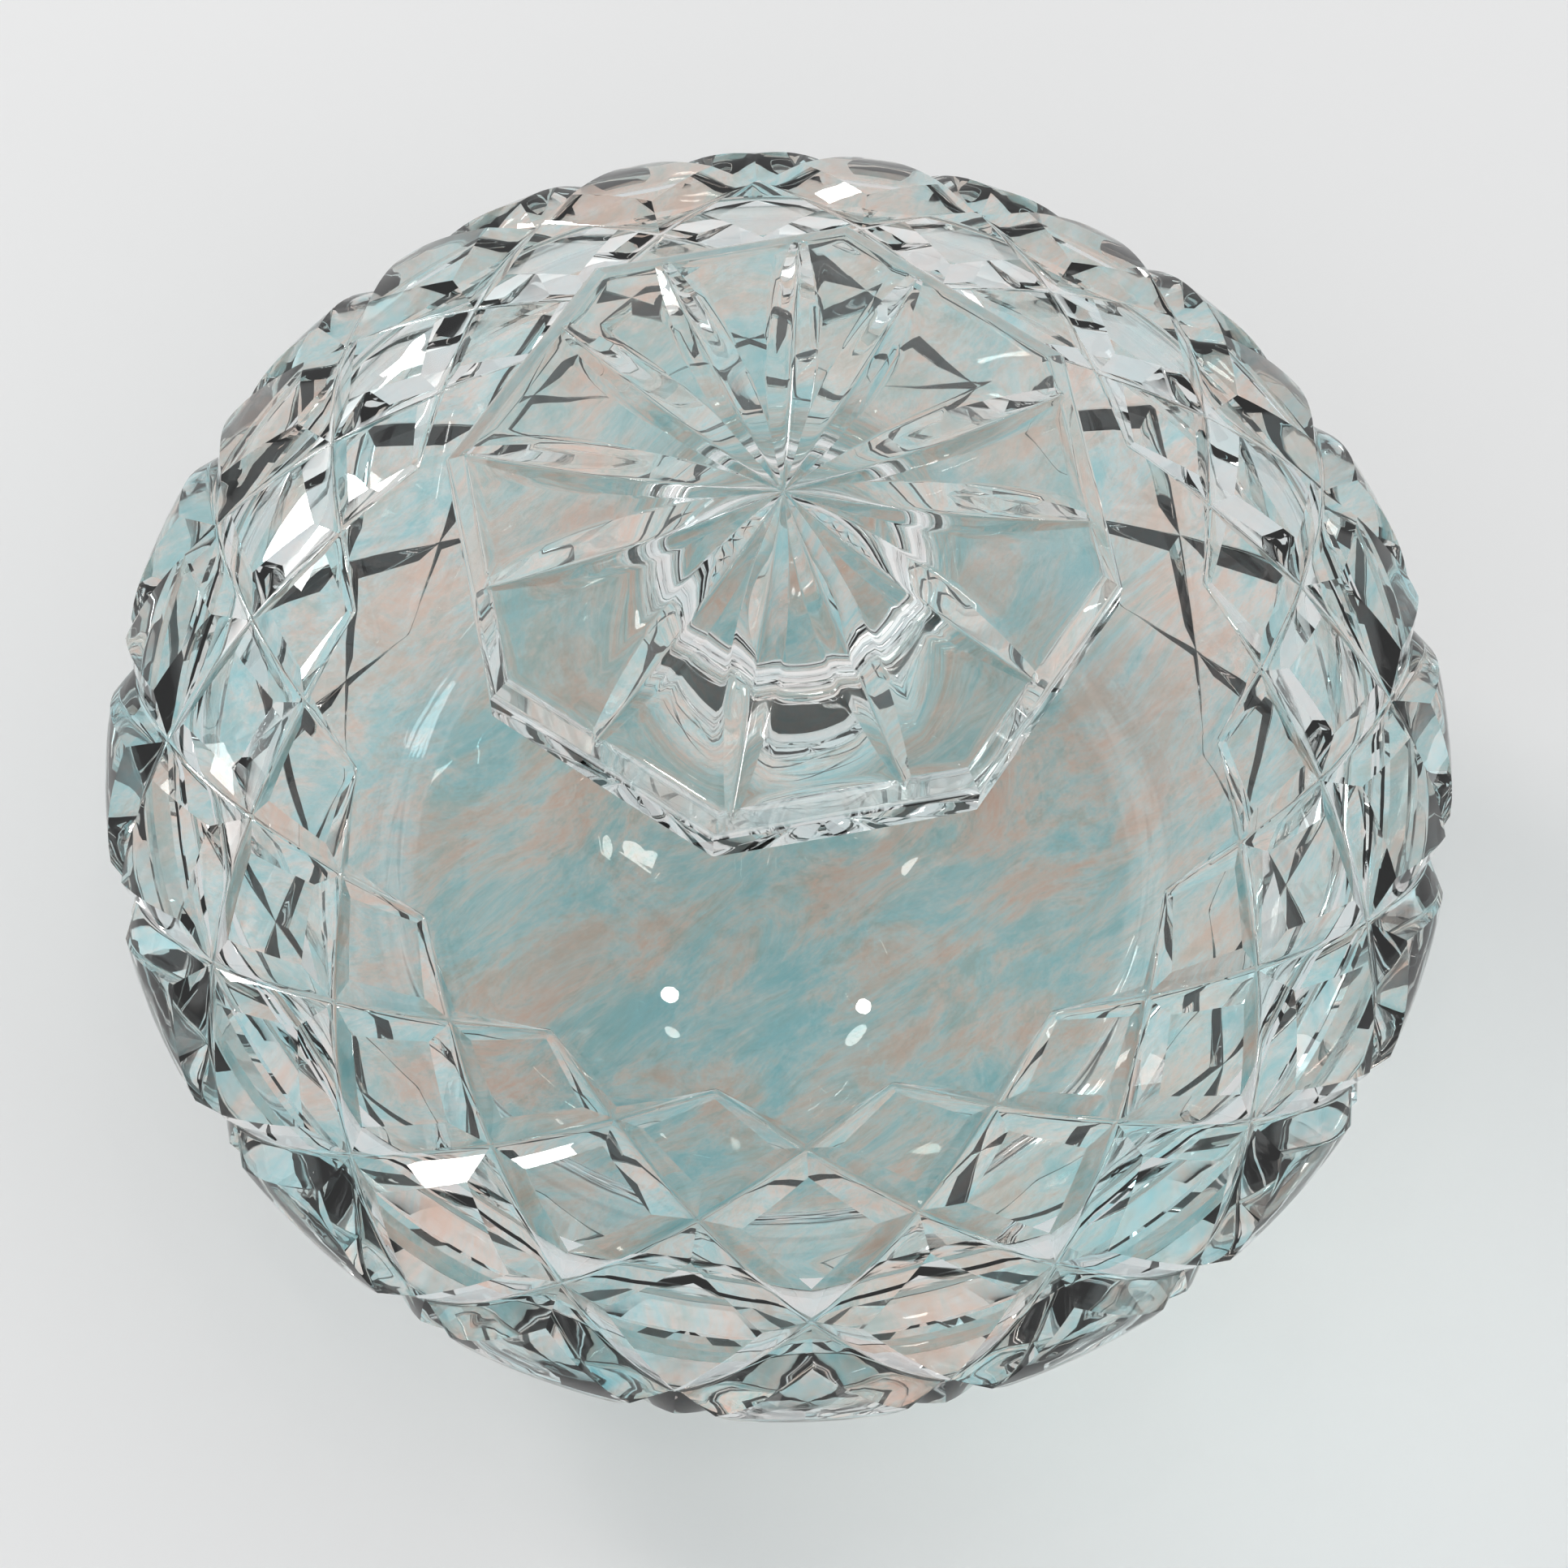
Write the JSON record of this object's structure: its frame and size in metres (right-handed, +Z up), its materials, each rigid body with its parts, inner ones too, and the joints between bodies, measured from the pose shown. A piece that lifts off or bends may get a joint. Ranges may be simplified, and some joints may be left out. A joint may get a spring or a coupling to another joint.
{
  "type": "powder jar",
  "caption": "Squat round cut-crystal powder jar with a domed lift-off lid and a large mushroom knob, cut with crossing mitres and a star.",
  "frame": {"origin": "middle of the flat base, on the surface that the jar stands on", "axes": "+Z up along the jar's axis, the way that the lid lifts off; -Y is towards the viewer"},
  "size_m": [0.127, 0.127, 0.0894],
  "materials": {
    "lead_crystal": "hand-cut and polished, clear with a faint cool tint"
  },
  "bodies": {
    "jar": {"jar_bowl": "lead_crystal"},
    "lid": {"lid_dome": "lead_crystal", "lid_knob": "lead_crystal"}
  },
  "joints": [
    {"name": "lid_lift", "type": "slide", "parent": "jar", "child": "lid", "axis": [0, 0, 1], "range_m": [0, 0.06]}
  ]
}
